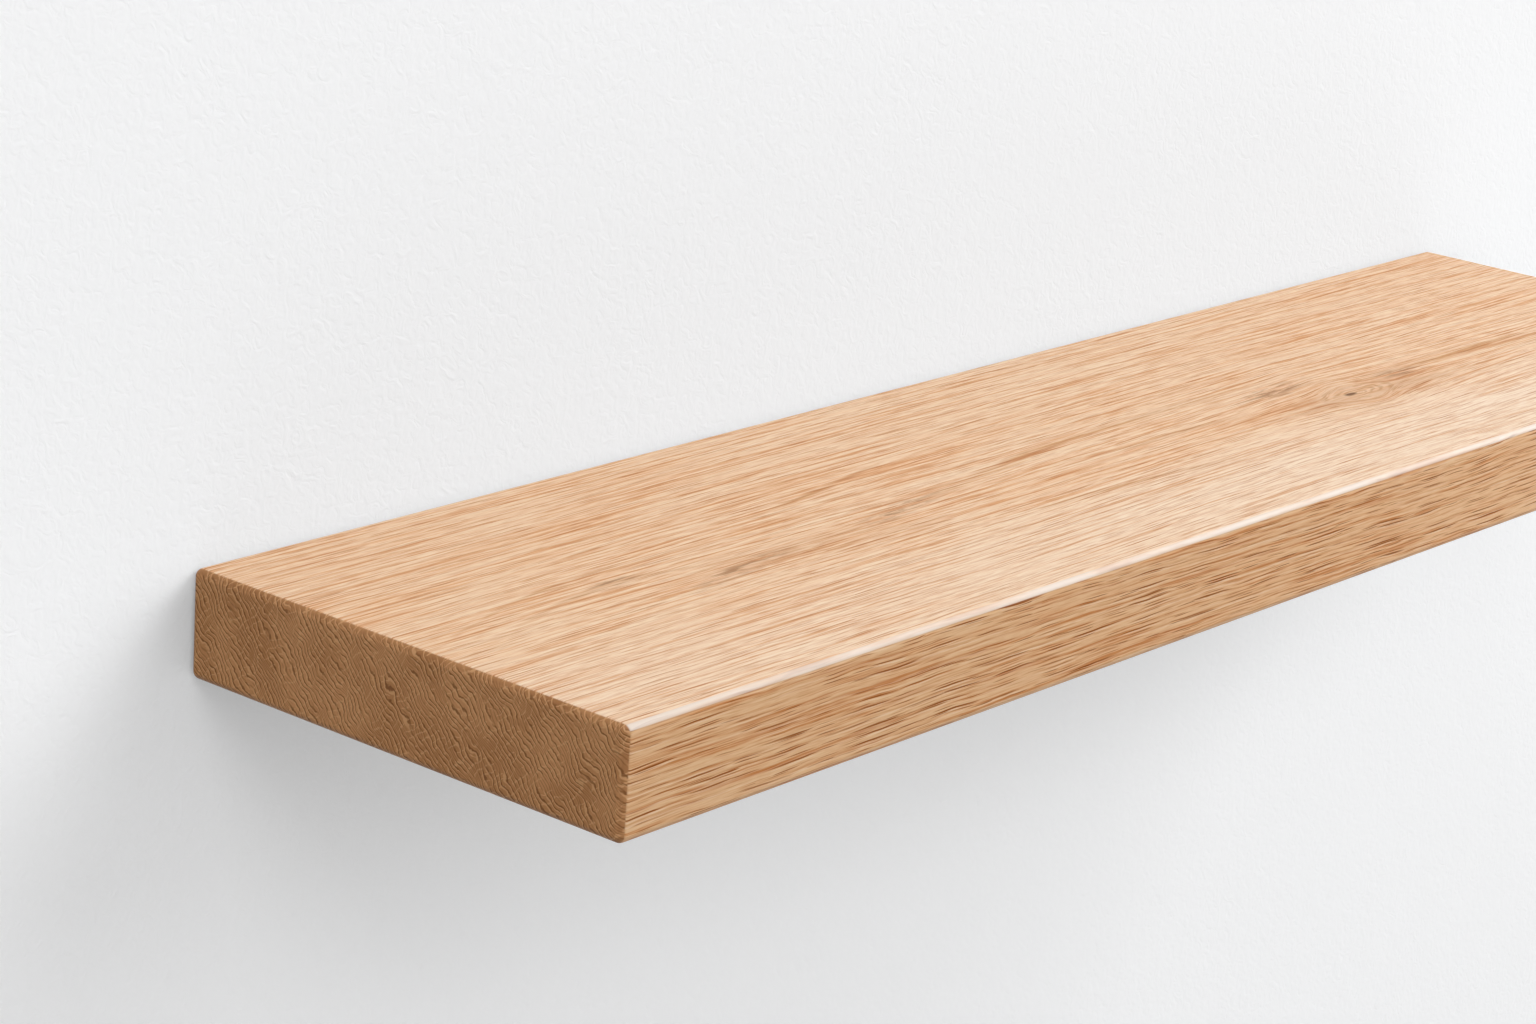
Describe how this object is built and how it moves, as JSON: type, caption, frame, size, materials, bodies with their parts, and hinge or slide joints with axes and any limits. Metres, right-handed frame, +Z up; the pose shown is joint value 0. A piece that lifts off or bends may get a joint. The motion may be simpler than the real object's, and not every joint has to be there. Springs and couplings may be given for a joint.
{
  "type": "floating wall shelf",
  "caption": "Thick solid oak shelf board with softly rounded edges, held on a wall by a hidden steel bar with rods that slide into the board.",
  "frame": {"origin": "middle of the bracket bar's back face, where it lies on the wall, at half the board's thickness", "axes": "+X along the board, to the right seen from the room; -Y out of the wall into the room, so +Y points into the wall; +Z up"},
  "size_m": [0.8, 0.2538, 0.04],
  "materials": {
    "oak": "satin",
    "bracket_steel": "satin",
    "zinc_steel": "satin",
    "nylon": "matte",
    "brass": "satin",
    "dark_steel": "satin"
  },
  "bodies": {
    "bracket": {"bracket_bar": "bracket_steel", "bracket_rod_left": "bracket_steel", "bracket_rod_middle": "bracket_steel", "bracket_rod_right": "bracket_steel", "wall_screw_1": "zinc_steel", "wall_screw_2": "zinc_steel", "wall_screw_3": "zinc_steel", "wall_screw_4": "zinc_steel", "wall_washer_1": "zinc_steel", "wall_washer_2": "zinc_steel", "wall_washer_3": "zinc_steel", "wall_washer_4": "zinc_steel", "wall_plug_1": "nylon", "wall_plug_2": "nylon", "wall_plug_3": "nylon", "wall_plug_4": "nylon"},
    "board": {"oak_board": "oak", "lock_insert_left": "brass", "lock_insert_right": "brass"},
    "lock_left": {"lock_screw_left": "dark_steel"},
    "lock_right": {"lock_screw_right": "dark_steel"}
  },
  "joints": [
    {"name": "board_slide", "type": "slide", "parent": "bracket", "child": "board", "axis": [0, -1, 0], "range_m": [0, 0.14]},
    {"name": "lock_left_turn", "type": "hinge", "parent": "board", "child": "lock_left", "pos_m": [-0.25, -0.045, -0.0163], "axis": [0, 0, -1], "range_deg": [0, 900]},
    {"name": "lock_right_turn", "type": "hinge", "parent": "board", "child": "lock_right", "pos_m": [0.25, -0.045, -0.0163], "axis": [0, 0, -1], "range_deg": [0, 900]}
  ]
}
